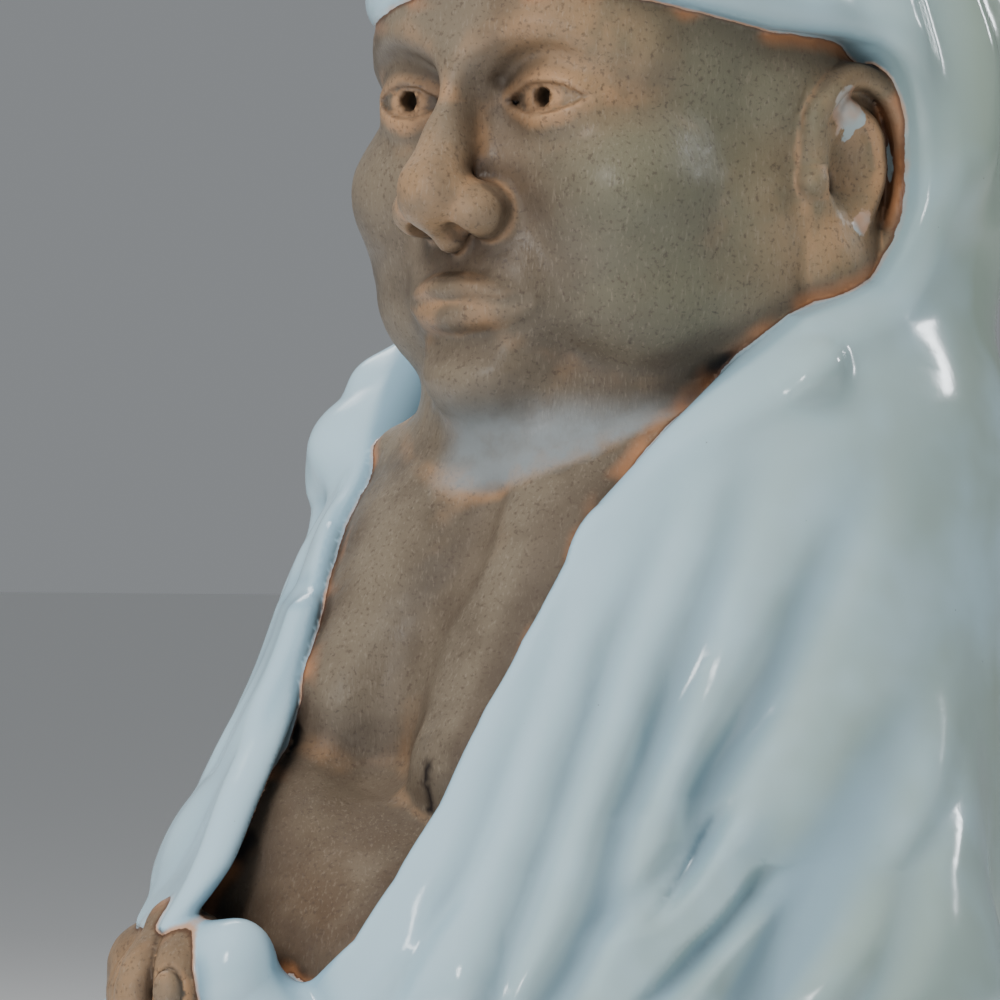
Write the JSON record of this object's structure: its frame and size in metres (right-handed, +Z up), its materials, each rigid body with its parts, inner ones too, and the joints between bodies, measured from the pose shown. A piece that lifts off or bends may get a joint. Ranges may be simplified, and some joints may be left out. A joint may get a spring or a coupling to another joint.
{
  "type": "seated daruma figure",
  "caption": "Seated hooded monk figure in glazed porcelain with a bare biscuit head, chest and hand, on a low oval plinth; stands on its flat underside.",
  "frame": {"origin": "centre of the underside", "axes": "+Z up, the figure faces -Y, +X to the figure's left"},
  "size_m": [0.2371, 0.1985, 0.3002],
  "materials": {
    "porcelain": "glossy pale celadon glaze with matt brown biscuit on the bare skin"
  },
  "bodies": {
    "root": {"daruma_figure": "porcelain"}
  },
  "joints": []
}
